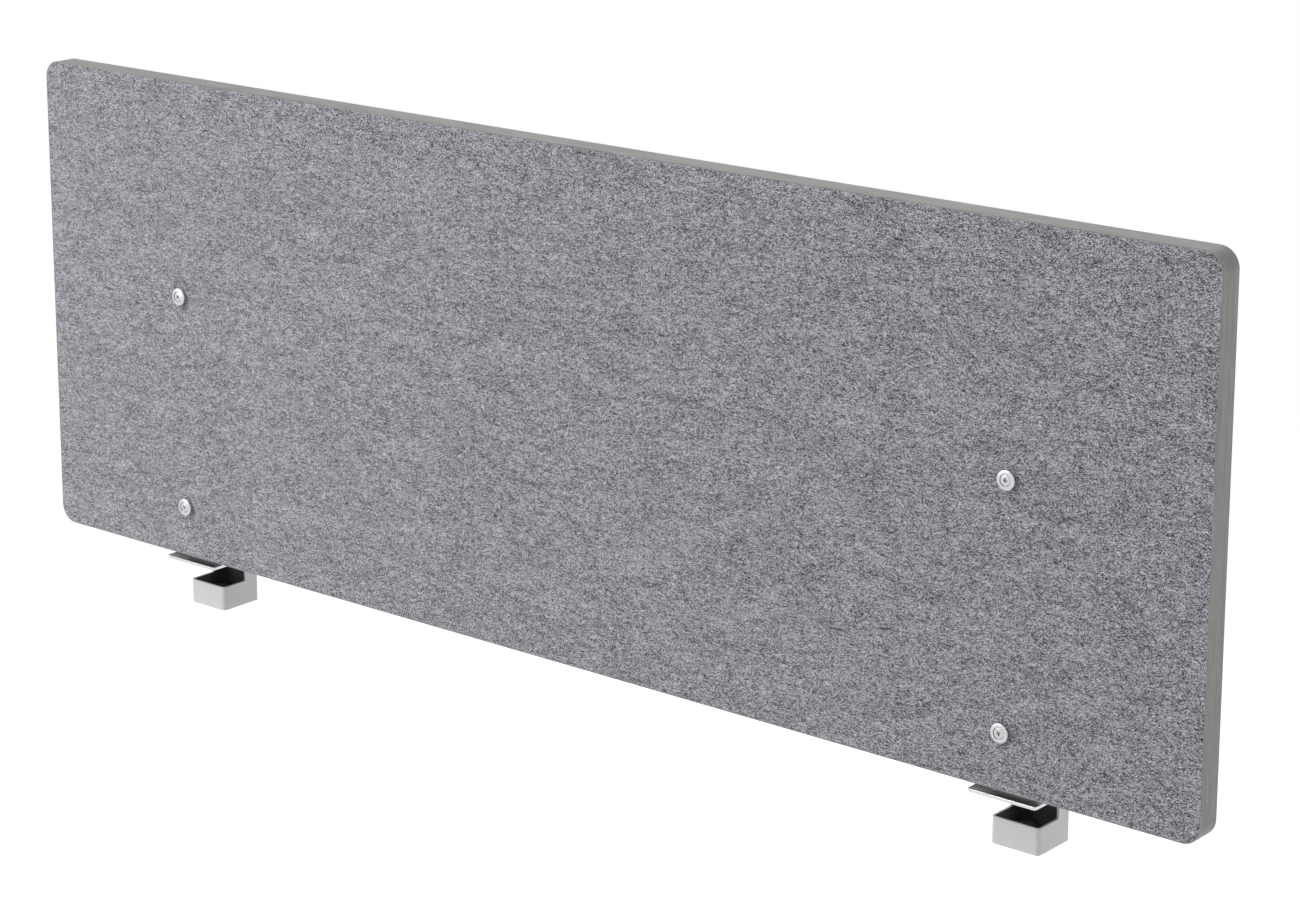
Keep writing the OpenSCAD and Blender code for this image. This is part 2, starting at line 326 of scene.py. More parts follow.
def circle_loop(bm, place, radius, facets, upright=False):
    """A ring of edges that lies flat or stands upright."""
    matrix = Matrix.Translation(place)
    if upright:
        matrix @= UPRIGHT
    made = bmesh.ops.create_circle(bm, cap_ends=False, radius=radius, segments=facets, matrix=matrix)
    return inner_edges(made["verts"])


def inner_edges(verts):
    """The edges that join points of a set."""
    known = set(verts)
    edges = in_order(edge for vert in verts for edge in vert.link_edges)
    return [edge for edge in edges if edge.verts[0] in known and edge.verts[1] in known]


def fill_between(bm, outer, inner, normal):
    """Fills the flat space between two rings of edges."""
    bmesh.ops.triangle_fill(bm, edges=outer + inner, use_beauty=True, use_dissolve=False, normal=normal)


def pull(bm, edges, vec, share=1.0):
    """Extrudes a ring of edges, scales the new ring about the Z axis and moves it. Returns the new ring."""
    verts = points_of(bmesh.ops.extrude_edge_only(bm, edges=edges))
    bmesh.ops.scale(bm, verts=verts, vec=(share, share, 1))
    bmesh.ops.translate(bm, verts=verts, vec=vec)
    return inner_edges(verts)


def open_square(bm, x, y, half):
    """Takes a square out of a flat plan and returns the edges round it."""
    inside = [
        face for face in bm.faces
        if max(abs(middle(face).x - x), abs(middle(face).y - y)) < half
    ]
    rim = [edge for edge in edges_of(inside) if sum(face in inside for face in edge.link_faces) == 1]
    bmesh.ops.delete(bm, geom=inside, context="FACES")
    return [edge for edge in rim if edge.is_valid]


def round_hole(bm, x, y, half, radii, facets):
    """Cuts a round hole in a flat plan, with rings of faces between it and the square grid round it."""
    edges = open_square(bm, x, y, half)
    for radius in radii:
        ring = circle_loop(bm, (x, y, 0), radius, facets)
        bmesh.ops.bridge_loops(bm, edges=edges + ring)
        edges = ring


def as_mesh(name, bm):
    """Ends the work on a mesh."""
    mesh = bpy.data.meshes.new(name)
    bm.to_mesh(mesh)
    bm.free()
    return mesh


def add_object(name, data):
    """Puts a new object into the scene."""
    made = bpy.data.objects.new(name, data)
    bpy.context.scene.collection.objects.link(made)
    return made


def finished(name, bm, slot, node, body="screen"):
    """Makes a mesh a piece of the model: it rides on a body and stands for a CAD node."""
    for face in bm.faces:
        face.smooth = True
    mesh = as_mesh(name, bm)
    mesh.set_sharp_from_angle(angle=math.radians(35))
    mesh.materials.append(FINISHES[slot]())
    piece = add_object(name, mesh)
    piece.modifiers.new("Even shading", "WEIGHTED_NORMAL").keep_sharp = True
    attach(piece, body)
    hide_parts(node)
    return piece


# Material tools

def label(make):
    """The name of what a function makes, from the function's own name."""
    return make.__name__.replace("_", " ").capitalize()


class Board:
    """Adds nodes to an emptied node tree and links them."""

    def __init__(self, tree):
        self.tree = tree
        tree.nodes.clear()

    def feed(self, node, inputs):
        """Fills inputs of a node with values or links."""
        for name, value in inputs.items():
            socket = node.inputs[name]
            if isinstance(value, bpy.types.NodeSocket):
                self.tree.links.new(value, socket)
            else:
                socket.default_value = value

    def add(self, kind, inputs=None, **settings):
        """Adds a node, sets its settings and fills its inputs."""
        node = self.tree.nodes.new(kind)
        for name, value in settings.items():
            setattr(node, name, value)
        self.feed(node, inputs or {})
        return node

    def maths(self, operation, first, second=0.0, third=0.0, clamp=False):
        """One sum."""
        values = {0: first, 1: second, 2: third}
        return self.add("ShaderNodeMath", values, operation=operation, use_clamp=clamp).outputs[0]

    def times(self, first, second):
        """The product of two numbers."""
        return self.maths("MULTIPLY", first, second)

    def apart(self, first, second):
        """How far two numbers are apart."""
        return self.maths("ABSOLUTE", self.maths("SUBTRACT", first, second))

    def blend(self, share, first, second):
        """Mixes two colours."""
        sides = {0: share, 6: first, 7: second}
        return self.add("ShaderNodeMix", sides, data_type="RGBA", clamp_factor=True).outputs[2]

    def shaded(self, tone, shade):
        """A plain colour made lighter or darker."""
        values = {0: tuple(tone), "Scale": shade}
        return self.add("ShaderNodeVectorMath", values, operation="SCALE").outputs[0]

    def step(self, value, start, stop, first, last):
        """Goes smoothly from a first value to a last one while a value goes from start to stop."""
        limits = {0: value, 1: start, 2: stop, 3: first, 4: last}
        return self.add("ShaderNodeMapRange", limits, interpolation_type="SMOOTHSTEP").outputs[0]

    def stretch(self, vector, scale, turn=(0, 0, 0), shift=(0, 0, 0)):
        """Scales, turns and shifts a pattern."""
        places = {"Vector": vector, "Location": shift, "Rotation": turn, "Scale": scale}
        return self.add("ShaderNodeMapping", places).outputs[0]

    def grain(self, vector, scale=1.0, detail=2.0, roughness=0.6):
        """Noise from 0 to 1."""
        values = {"Vector": vector, "Scale": scale, "Detail": detail, "Roughness": roughness}
        return self.add("ShaderNodeTexNoise", values).outputs[0]

    def group(self, make, **inputs):
        """Places a node group and returns its outputs."""
        return self.add("ShaderNodeGroup", inputs, node_tree=make()).outputs

    def weigh(self, terms):
        """Adds up noises round their middle, each with its own weight."""
        total = None
        for value, weight in terms:
            centred = self.maths("SUBTRACT", value, 0.5)
            if total is None:
                total = self.times(centred, weight)
            else:
                total = self.maths("MULTIPLY_ADD", centred, weight, total)
        return total


def shader_group(inputs, outputs):
    """Turns a function into a node group of numbers, which is built when it is first asked for."""
    def wrap(make):
        def get():
            tree = bpy.data.node_groups.get(label(make))
            if tree is None:
                tree = bpy.data.node_groups.new(label(make), "ShaderNodeTree")
                for name, value in inputs.items():
                    kind = "NodeSocketVector" if value is None else "NodeSocketFloat"
                    socket = tree.interface.new_socket(name=name, in_out="INPUT", socket_type=kind)
                    if value is not None:
                        socket.default_value = value
                for name in outputs:
                    tree.interface.new_socket(name=name, in_out="OUTPUT", socket_type="NodeSocketFloat")
                board = Board(tree)
                taken = board.add("NodeGroupInput").outputs[:len(inputs)]
                board.feed(board.add("NodeGroupOutput"), dict(zip(outputs, make(board, *taken))))
            return tree
        return get
    return wrap


@shader_group({"Vector": None, "Size": 30.0, "Amount": 0.05}, ("Shade", "Dullness"))
def handling_marks(board, vector, size, amount):
    """Wide soft patches that make a surface a little darker and duller in places."""
    wide = board.grain(vector, size, detail=3.0)
    fine = board.grain(vector, board.times(size, 9.0))
    both = board.weigh([(wide, 1.4), (fine, 0.5)])
    shade = board.maths("ADD", board.times(both, amount), 1.0)
    return shade, board.times(both, 0.5)


@shader_group({"Vector": None, "Grain": 900.0, "Depth": 1e-5}, ("Height",))
def fine_skin(board, vector, grain, depth):
    """The fine uneven skin of powder coat, moulded plastic or rubber, as a height in metres."""
    small = board.grain(vector, grain, detail=1.0, roughness=0.5)
    large = board.grain(vector, board.times(grain, 0.3), detail=1.0, roughness=0.5)
    both = board.weigh([(small, 1.0), (large, 1.2)])
    return (board.times(both, depth),)


@shader_group({"Radius": 0.0, "Feed": 0.35, "Depth": 5e-6}, ("Height",))
def turning_marks(board, radius, feed, depth):
    """Fine rings that a lathe leaves, from the radius stored on the mesh, as a height in metres."""
    ring = board.maths("SINE", board.times(board.maths("DIVIDE", radius, feed), FULL_TURN))
    vector = board.add("ShaderNodeCombineXYZ", {"X": radius}).outputs[0]
    uneven = board.weigh([(board.grain(vector, 9.0, roughness=0.7), 2.0)])
    both = board.maths("MULTIPLY_ADD", ring, 0.5, uneven)
    return (board.times(both, depth),)


@shader_group({"Radius": 0.0}, ("Mask",))
def shaded_groove_round_the_head(board, radius):
    """A mask that is 1 in the narrow groove between a screw's head and its washer, where shade is painted
    into the steel's colour.
    """
    return (board.step(board.apart(radius, groove_radius()), 0.2, 0.5, 1.0, 0.0),)


@shader_group({"Vector": None}, ("Mask",))
def shaded_inside_of_the_tubes(board, vector):
    """A mask that is 1 on the inside walls of both clamp tubes and on top of their floor plates, where shade
    is painted as a darker colour.
    """
    skin = 0.12 * MM
    plate_level = 2.6 * MM
    centre, low, high = node_box("bracket_tube_right")
    half = (high.x - low.x) / 2 - clamp_sizes().wall + skin
    x, y, z = board.add("ShaderNodeSeparateXYZ", {0: vector}).outputs
    across = board.apart(board.maths("ABSOLUTE", x), centre.x)
    within = [board.maths("LESS_THAN", away, half) for away in (across, board.apart(y, centre.y))]
    above = board.maths("GREATER_THAN", z, low.z + plate_level)
    return (board.times(board.times(*within), above),)


@shader_group({"Vector": None, "Contrast": 1.0}, ("Tone", "Height"))
def melange_fibres(board, vector, contrast):
    """Needled felt from dark and light fibres: a tone from 0 to 1 and a height in metres."""
    # Coordinates in millimetres, bent a little so that the fibres wander
    in_mm = board.stretch(vector, (1000, 1000, 1000))
    bend = board.add("ShaderNodeTexNoise", {"Vector": in_mm, "Scale": 0.11, "Detail": 1.0}).outputs[1]
    sides = {0: bend, 1: (0.5, 0.5, 0.5)}
    centred = board.add("ShaderNodeVectorMath", sides, operation="SUBTRACT").outputs[0]
    terms = {0: centred, 1: (4.0, 4.0, 4.0), 2: in_mm}
    bent = board.add("ShaderNodeVectorMath", terms, operation="MULTIPLY_ADD").outputs[0]
    lying = board.stretch(bent, (0.4, 1.0, 1.0))
    slanted = board.stretch(bent, (0.45, 1.0, 1.0), (0, 0.4, 0), (40, 7, 3))
    steep = board.stretch(bent, (0.5, 1.0, 1.0), (0, -0.5, 0), (9, 70, 31))
    clump = board.stretch(bent, (0.31, 1.0, 1.0), (0, 0.06, 0))
    fine_a = board.grain(lying, 1.55, roughness=0.7)
    fine_b = board.grain(slanted, 1.45, roughness=0.7)
    fine_c = board.grain(steep, 1.5, roughness=0.7)
    medium = board.grain(clump, 0.5, detail=1.0)
    large = board.grain(clump, 0.19, detail=1.0)
    cloud = board.grain(clump, 0.05)
    tone = board.weigh([
        (fine_a, 2.8), (fine_b, 1.7), (fine_c, 1.45), (medium, 0.74), (large, 0.39), (cloud, 0.2),
    ])
    tone = board.maths("MULTIPLY_ADD", tone, contrast, 0.5, clamp=True)
    # Single hairs, far finer than the melange
    hairs = []
    for way, scale in ((lying, 4.2), (slanted, 4.6), (steep, 4.4)):
        hairs.append(board.maths("SUBTRACT", 0.5, board.apart(board.grain(way, scale, detail=1.0), 0.5)))
    hair = board.maths("ADD", board.maths("ADD", hairs[0], hairs[1]), hairs[2])
    lumps = board.maths("MULTIPLY_ADD", fine_a, 0.9, board.times(medium, 0.8))
    height = board.maths("MULTIPLY_ADD", hair, 0.5, lumps)
    return tone, board.times(height, 0.00022)


def opaque(rgb):
    """A colour with its alpha."""
    return (*rgb, 1.0)


def shader_material(make):
    """Turns a function that feeds a Principled BSDF into a material, built when it is first asked for."""
    def get():
        material = bpy.data.materials.get(label(make))
        if material is None:
            material = bpy.data.materials.new(label(make))
            material.use_nodes = True
            board = Board(material.node_tree)
            shader = board.add("ShaderNodeBsdfPrincipled")
            board.add("ShaderNodeOutputMaterial", {0: shader.outputs[0]})
            # Coordinates that stay with the object
            place = board.add("ShaderNodeTexCoord").outputs["Object"]
            board.feed(shader, make(board, place))
        return material
    return get


def bumped(board, height, strength=1.0):
    """A normal from a height in metres."""
    return board.add("ShaderNodeBump", {"Height": height, "Strength": strength, "Distance": 1.0}).outputs[0]


def marked(board, place, tone, size, amount, roughness, dulling=1.0, painted_shade_factor=None):
    """Colour and roughness of a surface with handling marks; where a factor of painted shade is given, the
    colour is darkened by it.
    """
    marks = board.group(handling_marks, Vector=place, Size=size, Amount=amount)
    shade = marks["Shade"]
    if painted_shade_factor is not None:
        shade = board.times(shade, painted_shade_factor)
    rough = board.maths("MULTIPLY_ADD", marks["Dullness"], dulling, roughness, clamp=True)
    return {"Base Color": board.shaded(tone, shade), "Roughness": rough}


@shader_material
def melange_felt(board, place):
    """Grey melange felt."""
    palette = colours()
    fibres = board.group(melange_fibres, Vector=place, Contrast=1.45)
    ramp = board.add("ShaderNodeValToRGB", {0: fibres["Tone"]})
    stops = ramp.color_ramp.elements
    stops[0].color = opaque(palette.felt_dark)
    stops[1].color = opaque(palette.felt_light)
    stops.new(0.5).color = opaque(palette.felt_mid)
    return {
        "Base Color": ramp.outputs[0],
        "Roughness": 0.95,
        "Specular IOR Level": 0.2,
        "Sheen Weight": 0.8,
        "Sheen Roughness": 0.5,
        "Normal": bumped(board, fibres["Height"], 0.6),
    }


@shader_material
def streaked_band(board, place):
    """Smooth grey edge band with fine streaks along its length."""
    fine = board.grain(board.stretch(place, (42, 850, 42)))
    wide = board.grain(board.stretch(place, (15, 230, 15)), detail=1.0, roughness=0.5)
    streak = board.weigh([(fine, 0.75), (wide, 0.4)])
    marks = board.group(handling_marks, Vector=place, Size=30.0, Amount=0.1)
    shade = board.times(board.maths("ADD", streak, 1.0), marks["Shade"])
    return {
        "Base Color": board.shaded(colours().band, shade),
        "Roughness": board.maths("MULTIPLY_ADD", streak, 0.4, 0.46),
        "Specular IOR Level": 0.2,
        "Normal": bumped(board, board.times(streak, 2e-5)),
    }


@shader_material
def pressed_core(board, place):
    """Board of pressed polyester fibre."""
    flakes = board.grain(board.stretch(place, (180, 900, 180)), detail=3.0, roughness=0.65)
    return {
        "Base Color": board.shaded(colours().core, board.maths("MULTIPLY_ADD", flakes, 0.9, 0.55)),
        "Roughness": 0.95,
        "Normal": bumped(board, board.times(flakes, 0.0003), 0.8),
    }


@shader_material
def clamp_coat(board, place):
    """Light grey powder coat of the clamps, with painted shade as a darker colour inside the tubes, which
    are also duller there.
    """
    finish = marked(board, place, colours().tube, size=24.0, amount=0.035, roughness=0.42)
    mask = board.group(shaded_inside_of_the_tubes, Vector=place)["Mask"]
    skin = board.group(fine_skin, Vector=place, Grain=1500.0, Depth=2.2e-5)["Height"]
    return {
        # Painted shade inside the tubes: the darker inside colour replaces the coat there
        "Base Color": board.blend(mask, finish["Base Color"], opaque(colours().tube_inside_shade)),
        "Roughness": board.maths("MULTIPLY_ADD", mask, 0.12, finish["Roughness"], clamp=True),
        "Specular IOR Level": 0.4,
        "Normal": bumped(board, skin),
    }


@shader_material
def jaw_plate_metal(board, place):
    """Bright plated flat steel, with fine marks of rolling along its width."""
    finish = marked(board, place, colours().jaw, size=40.0, amount=0.06, roughness=0.16, dulling=0.2)
    rolled = board.grain(board.stretch(place, (30, 2200, 2200)))
    return finish | {"Metallic": 1.0, "Normal": bumped(board, board.times(rolled, 4e-6))}


def plated(board, place, metal, feed, depth, groove_shade_amount):
    """Turned and plated steel. The last argument is how much painted shade darkens the groove round a
    screw's head.
    """
    radius = board.add("ShaderNodeAttribute", attribute_name="turn_radius").outputs["Fac"]
    groove = board.group(shaded_groove_round_the_head, Radius=radius)["Mask"]
    # Painted shade: the groove round a screw's head, and the cross recess that shares its radius, are
    # darkened
    painted_shade_factor = board.maths("SUBTRACT", 1.0, board.times(groove, groove_shade_amount))
    rings = board.group(turning_marks, Radius=radius, Feed=feed, Depth=depth)["Height"]
    finish = marked(board, place, metal, 160.0, amount=0.1, roughness=0.3, dulling=0.4, painted_shade_factor=painted_shade_factor)
    return finish | {"Metallic": 1.0, "Normal": bumped(board, rings)}


@shader_material
def bright_steel(board, place):
    """Bright plated washers and screws."""
    # Painted shade darkens the groove round each screw's head
    return plated(board, place, colours().bright, feed=0.31, depth=6e-6, groove_shade_amount=0.7)


@shader_material
def zinc_steel(board, place):
    """Zinc plated spindles, discs, bushes and inserts."""
    return plated(board, place, colours().zinc, feed=0.42, depth=8e-6, groove_shade_amount=0.0)


def moulded(board, place, tone, roughness, grain, depth):
    """Moulded rubber or plastic."""
    skin = board.group(fine_skin, Vector=place, Grain=grain, Depth=depth)["Height"]
    finish = marked(board, place, tone, size=60.0, amount=0.25, roughness=roughness)
    return finish | {"Normal": bumped(board, skin)}


@shader_material
def black_rubber(board, place):
    """Matt rubber of the pads and facings."""
    return moulded(board, place, colours().rubber, roughness=0.72, grain=1900.0, depth=4e-5)


@shader_material
def cap_plastic(board, place):
    """Fine grained plastic of the tube caps."""
    return moulded(board, place, colours().plastic, roughness=0.5, grain=2600.0, depth=3e-5)


# The material of each slot
FINISHES = {
    "felt": melange_felt,
    "edge_band": streaked_band,
    "tube_paint": clamp_coat,
    "jaw_steel": jaw_plate_metal,
    "bright_steel": bright_steel,
    "zinc_steel": zinc_steel,
    "rubber": black_rubber,
    "cap_plastic": cap_plastic,
}


# The pieces

def felt_relief(x, z, sizes, screws, low, high):
    """How far the felt's surface lies back at a place, from its own unevenness and the washers' hubs."""
    rim_fade, hub, hub_fade, hub_reach = 6 * MM, 6 * MM, 4.2 * MM, 30 * MM
    coarse = noise.noise(Vector((x * 26, 3.1, z * 30)))
    fine = noise.noise(Vector((x * 75, 9.7, z * 82)))
    soft = coarse + 0.6 * fine
    depth = sizes.felt_relief * min(max(0.5 + 0.45 * soft, 0.0), 1.0)
    rim = min(x - low.x, high.x - x, z - low.z, high.z - z)
    depth *= min(max(rim / rim_fade, 0.0), 1.0)
    for screw_x, screw_z in screws:
        away = math.hypot(x - screw_x, z - screw_z)
        if away < hub_reach:
            slope = math.exp(-max(away - hub, 0.0) / hub_fade)
            depth = depth * (1 - slope) + sizes.dent * slope
    return depth


def grid_lines(low, high, cell, holes, half):
    """Where a facing is cut: even steps, and finer ones round its holes."""
    count = math.ceil((high - low) / cell)
    even = [low + (high - low) * i / count for i in range(1, count)]
    even = [place for place in even if all(abs(place - hole) > half + MM for hole in holes)]
    return sorted(even + [hole + step for hole in holes for step in (-half, -half / 2, 0, half / 2, half)])


def felt_facing(name, node, mirrored):
    """One felt facing: a slab with a soft rim, round holes and a slightly uneven face."""
    sizes = panel_sizes()
    _, low, high = node_box(node)
    screws = screw_places()
    radius = sizes.corner - sizes.band
    # Half the side of the finer field of faces round a hole
    half = 16 * MM
    top = high.y - low.y
    bm = bmesh.new()
    box_plan(bm, low.xz, high.xz, radius, 10)
    for x in grid_lines(low.x, high.x, sizes.felt_cell, sorted({x for x, _ in screws}), half):
        cut(bm, (x, 0, 0), (1, 0, 0))
    for z in grid_lines(low.z, high.z, sizes.felt_cell, sorted({z for _, z in screws}), half):
        cut(bm, (0, z, 0), (0, 1, 0))
    rings = [r * MM for r in (13.5, 11, 9, 7.4, 6.2)] + [sizes.sleeve / 2]
    for x, z in screws:
        round_hole(bm, x, z, half, rings, HOLE_FACETS)
    thicken(bm, top)
    rim = sharp_edges(
        bm, 60,
        lambda edge: min(vert.co.z for vert in edge.verts) > top - NEAR
        and all(math.hypot(edge.verts[0].co.x - x, edge.verts[0].co.y - z) > half for x, z in screws),
    )
    soften(bm, rim, sizes.felt_rim, 4)
    for vert in bm.verts:
        if vert.co.z > top - sizes.felt_rim * 0.5:
            vert.co.z -= felt_relief(vert.co.x, vert.co.y, sizes, screws, low.xzz, high.xzz)
    stand(bm, low.y if mirrored else high.y, -1 if mirrored else 1)
    face_out(bm)
    piece = finished(name, bm, "felt", node)


def edge_trim():
    """The band round the panel's rim, with a butt joint in the middle of the bottom."""
    sizes = panel_sizes()
    centre, low, high = node_box("edge_band")
    bm = bmesh.new()
    box_plan(bm, low.xz, high.xz, sizes.corner, 24)
    keep_rim(bm, sizes.band)
    thicken(bm, high.y - low.y)
    gap = sizes.band_joint / 2
    for x in (-gap, gap):
        cut(bm, (x, 0, 0), (1, 0, 0), [face for face in bm.faces if middle(face).y < low.z + 2 * sizes.band])
    lost = [face for face in bm.faces if abs(middle(face).x) < gap * 0.9 and middle(face).y < centre.z]
    bmesh.ops.delete(bm, geom=lost, context="FACES")
    bmesh.ops.holes_fill(bm, edges=open_edges(bm), sides=8)
    face_out(bm)
    soften(bm, sharp_edges(bm, 60), sizes.band_edge, 3)
    stand(bm, high.y)
    finished("edge_trim", bm, "edge_band", "edge_band")


def gather(target, bm, matrix):
    """Adds a finished mesh to another one, put in its place."""
    bmesh.ops.transform(bm, matrix=matrix, verts=bm.verts)
    mesh = as_mesh("part", bm)
    target.from_mesh(mesh)
    bpy.data.meshes.remove(mesh)


def washer_ring():
    """A finishing washer: a slightly domed rim on a hub, with a countersunk seat. Its front is at 0."""
    bm = bmesh.new()
    turned(bm, [
        (5.3, -0.08), (5.42, 0.0), (6.1, -0.02), (7.1, -0.12), (7.9, -0.3), (8.5, -0.56), (8.86, -0.9),
        (9.0, -1.25), (8.93, -1.62), (8.7, -1.9), (8.35, -2.0), (6.3, -2.0), (6.0, -2.25),
        (6.0, -5.45), (2.65, -5.45), (2.65, -2.73),
    ])
    finish_turned(bm)
    return bm


def screw_body():
    """A countersunk screw with a cross recess. Its head's edge is at 0."""
    head = panel_sizes().screw_head / 2 / MM
    arm, slot, crown = 2.4, 0.66, 0.26
    bm = bmesh.new()
    turned(bm, [
        (3.3, 0.24), (4.3, 0.13), (head - 0.12, 0.0), (head, -0.12), (head - 0.08, -0.3), (2.5, -2.55),
        (2.5, -38.7), (1.7, -39.5), (0.0, -39.5),
    ], closed=False)
    rim = open_edges(bm)
    outline = [
        (arm, -slot), (arm, slot), (slot, slot), (slot, arm), (-slot, arm), (-slot, slot),
        (-arm, slot), (-arm, -slot), (-slot, -slot), (-slot, -arm), (slot, -arm), (slot, -slot),
    ]
    verts = [bm.verts.new((x * MM, y * MM, crown * MM)) for x, y in outline]
    edges = [bm.edges.new(pair) for pair in zip(verts, verts[1:] + verts[:1])]
    fill_between(bm, rim, edges, (0, 0, 1))
    for drop, share in ((0.25, 0.94), (1.6, 0.66)):
        edges = pull(bm, edges, (0, 0, -drop * MM), share)
    bmesh.ops.edgeloop_fill(bm, edges=edges)
    layer = finish_turned(bm)
    # The recess' floor has the groove's radius, so that it gets the same painted shade as the groove
    for edge in edges:
        for vert in edge.verts:
            vert[layer] = groove_radius()
    return bm


def fasteners(name, make, node):
    """Four like fasteners at the four screw places, each turned by its own angle."""
    _, low, _ = node_box(node)
    target = bmesh.new()
    target.verts.layers.float.new("turn_radius")
    for (x, z), degrees in zip(screw_places(), (12, 57, 31, 78)):
        turn = Matrix.Rotation(math.radians(degrees), 4, "Z")
        gather(target, make(), Matrix.Translation((x, low.y, z)) @ UPRIGHT @ turn)
    finished(name, target, "bright_steel", node)


def tube_shell(side):
    """The square tube of one clamp, with its slot for the desk and two holes for the inserts."""
    sizes = clamp_sizes()
    node = "bracket_tube_" + side
    centre, low, high = node_box(node)
    slot_low = low.z + sizes.box
    slot_high = node_box("jaw_plate_" + side)[2].z
    wall = Vector((sizes.wall, sizes.wall, 0))
    bm = bmesh.new()
    box_plan(bm, low, high, sizes.outer_radius, 8)
    box_plan(bm, low + wall, high - wall, sizes.inner_radius, 8)
    bmesh.ops.delete(bm, geom=bm.faces[:], context="FACES_ONLY")
    bmesh.ops.bridge_loops(bm, edges=bm.edges[:])
    for x in (centre.x - HOLE_FIELD, centre.x + HOLE_FIELD):
        cut(bm, (x, 0, 0), (1, 0, 0))
    cut(bm, (0, 0, 0), (0, 1, 0))
    thicken(bm, high.z - low.z, low.z)
    holes = sorted({z for _, z in screw_places()})
    for z in [slot_low, slot_high] + [z + step for z in holes for step in (-HOLE_FIELD, HOLE_FIELD)]:
        cut(bm, (0, 0, z), (0, 0, 1))
    lost = [face for face in bm.faces if middle(face).y < 0 and slot_low < middle(face).z < slot_high]
    bmesh.ops.delete(bm, geom=lost, context="FACES")
    bmesh.ops.bridge_loops(bm, edges=open_edges(bm))
    for z in holes:
        drill_front_wall(bm, centre.x, low.y, z)
    face_out(bm)
    soften(bm, sharp_edges(bm, 50), sizes.edge, 3)
    finished("tube_shell_" + side, bm, "tube_paint", node)


def drill_front_wall(bm, x, outer_y, z):
    """Drills a round hole through the tube's front wall."""
    sizes = clamp_sizes()
    ring = circle_loop(bm, (x, outer_y, z), sizes.nut_hole / 2, HOLE_FACETS, upright=True)
    rings = (ring, pull(bm, ring, (0, sizes.wall, 0)))
    for y, hole in zip((outer_y, outer_y + sizes.wall), rings):
        pierced = [
            face for face in bm.faces
            if all(abs(vert.co.y - y) < NEAR for vert in face.verts)
            and max(abs(middle(face).x - x), abs(middle(face).z - z)) < HOLE_FIELD
        ]
        square = edges_of(pierced)
        bmesh.ops.delete(bm, geom=pierced, context="FACES_ONLY")
        fill_between(bm, square, hole, (0, 1, 0))


def tube_plug(side):
    """The cap on a clamp tube's top: a lid with a round edge and a shallow dish, on a hollow plug."""
    sizes = clamp_sizes()
    node = "tube_cap_" + side
    _, low, high = node_box(node)
    lid, lid_edge, lid_rim = 2 * MM, 1 * MM, 3.5 * MM
    dish_slope, dish_depth = 0.5 * MM, 0.35 * MM
    plug_wall = 2 * MM
    lid_z = high.z - lid
    bm = bmesh.new()
    box_plan(bm, low, high, sizes.outer_radius, 6)
    thicken(bm, lid)
    soften(bm, sharp_edges(bm, 60, lambda edge: min(v.co.z for v in edge.verts) > lid * 0.9), lid_edge, 5)
    top = [face for face in bm.faces if middle(face).z > lid - NEAR]
    bmesh.ops.inset_region(bm, faces=top, thickness=lid_rim, depth=0)
    bmesh.ops.inset_region(bm, faces=top, thickness=dish_slope, depth=-dish_depth)
    move(bm, (0, 0, lid_z))
    plug = bmesh.new()
    gap = Vector((1, 1, 0)) * (sizes.wall + FIT_GAP)
    box_plan(plug, low + gap, high - gap, sizes.inner_radius, 4)
    keep_rim(plug, plug_wall)
    thicken(plug, lid_z - low.z)
    gather(bm, plug, Matrix.Translation((0, 0, low.z)))
    finished("tube_plug_" + side, bm, "cap_plastic", node)


def jaw_bar(side):
    """The fixed jaw: a plate with round front corners and a tongue that runs into the tube's back."""
    sizes = clamp_sizes()
    node = "jaw_plate_" + side
    _, low, high = node_box(node)
    tube_centre, tube_low, _ = node_box("bracket_tube_" + side)
    half = tube_centre.x - tube_low.x - sizes.wall - FIT_GAP
    x = tube_centre.x
    corners = [
        (low.x, low.y), (high.x, low.y), (high.x, 0), (x + half, 0),
        (x + half, high.y), (x - half, high.y), (x - half, 0), (low.x, 0),
    ]
    front, rear = sizes.jaw_corner, sizes.inner_radius
    # A plated edge is sharper than a coated one
    edge_radius = sizes.edge * 0.6
    bm = bmesh.new()
    plan(bm, corners, [front, front, 0, 0, rear, rear, 0, 0], 8)
    thicken(bm, high.z - low.z, low.z)
    soften(bm, sharp_edges(bm, 50), edge_radius, 3)
    finished("jaw_bar_" + side, bm, "jaw_steel", node)


def jaw_cushion(side):
    """The soft pad under a jaw, with ribs on its underside."""
    node = "jaw_pad_" + side
    centre, low, high = node_box(node)
    groove, depth, step, margin = 1.2 * MM, 0.5 * MM, 4 * MM, 4 * MM
    corner, edge_radius = 3 * MM, 0.3 * MM
    bm = bmesh.new()
    box_plan(bm, low, high, corner, 6)
    count = int((high.x - low.x - 2 * margin) / step)
    first = centre.x - count * step / 2
    grooves = [first + step * i for i in range(count + 1)]
    for x in [x + half for x in grooves for half in (-groove / 2, groove / 2)]:
        cut(bm, (x, 0, 0), (1, 0, 0))
    for y in (low.y + margin, high.y - margin):
        cut(bm, (0, y, 0), (0, 1, 0))
    thicken(bm, high.z - low.z)
    sunk = [
        face for face in bm.faces
        if middle(face).z < NEAR and min(abs(middle(face).x - x) for x in grooves) < groove / 2
        and low.y + margin < middle(face).y < high.y - margin
    ]
    raised = points_of(bmesh.ops.extrude_face_region(bm, geom=sunk))
    bmesh.ops.translate(bm, verts=raised, vec=(0, 0, depth))
    bmesh.ops.delete(bm, geom=sunk, context="FACES_ONLY")
    face_out(bm)
    inset = Vector((margin / 2, margin / 2, 0))
    start, stop = low + inset, high - inset
    rim = sharp_edges(
        bm, 60,
        lambda edge: not all(start.x < v.co.x < stop.x and start.y < v.co.y < stop.y for v in edge.verts),
    )
    soften(bm, rim, edge_radius, 2)
    move(bm, (0, 0, low.z))
    finished("jaw_cushion_" + side, bm, "rubber", node)


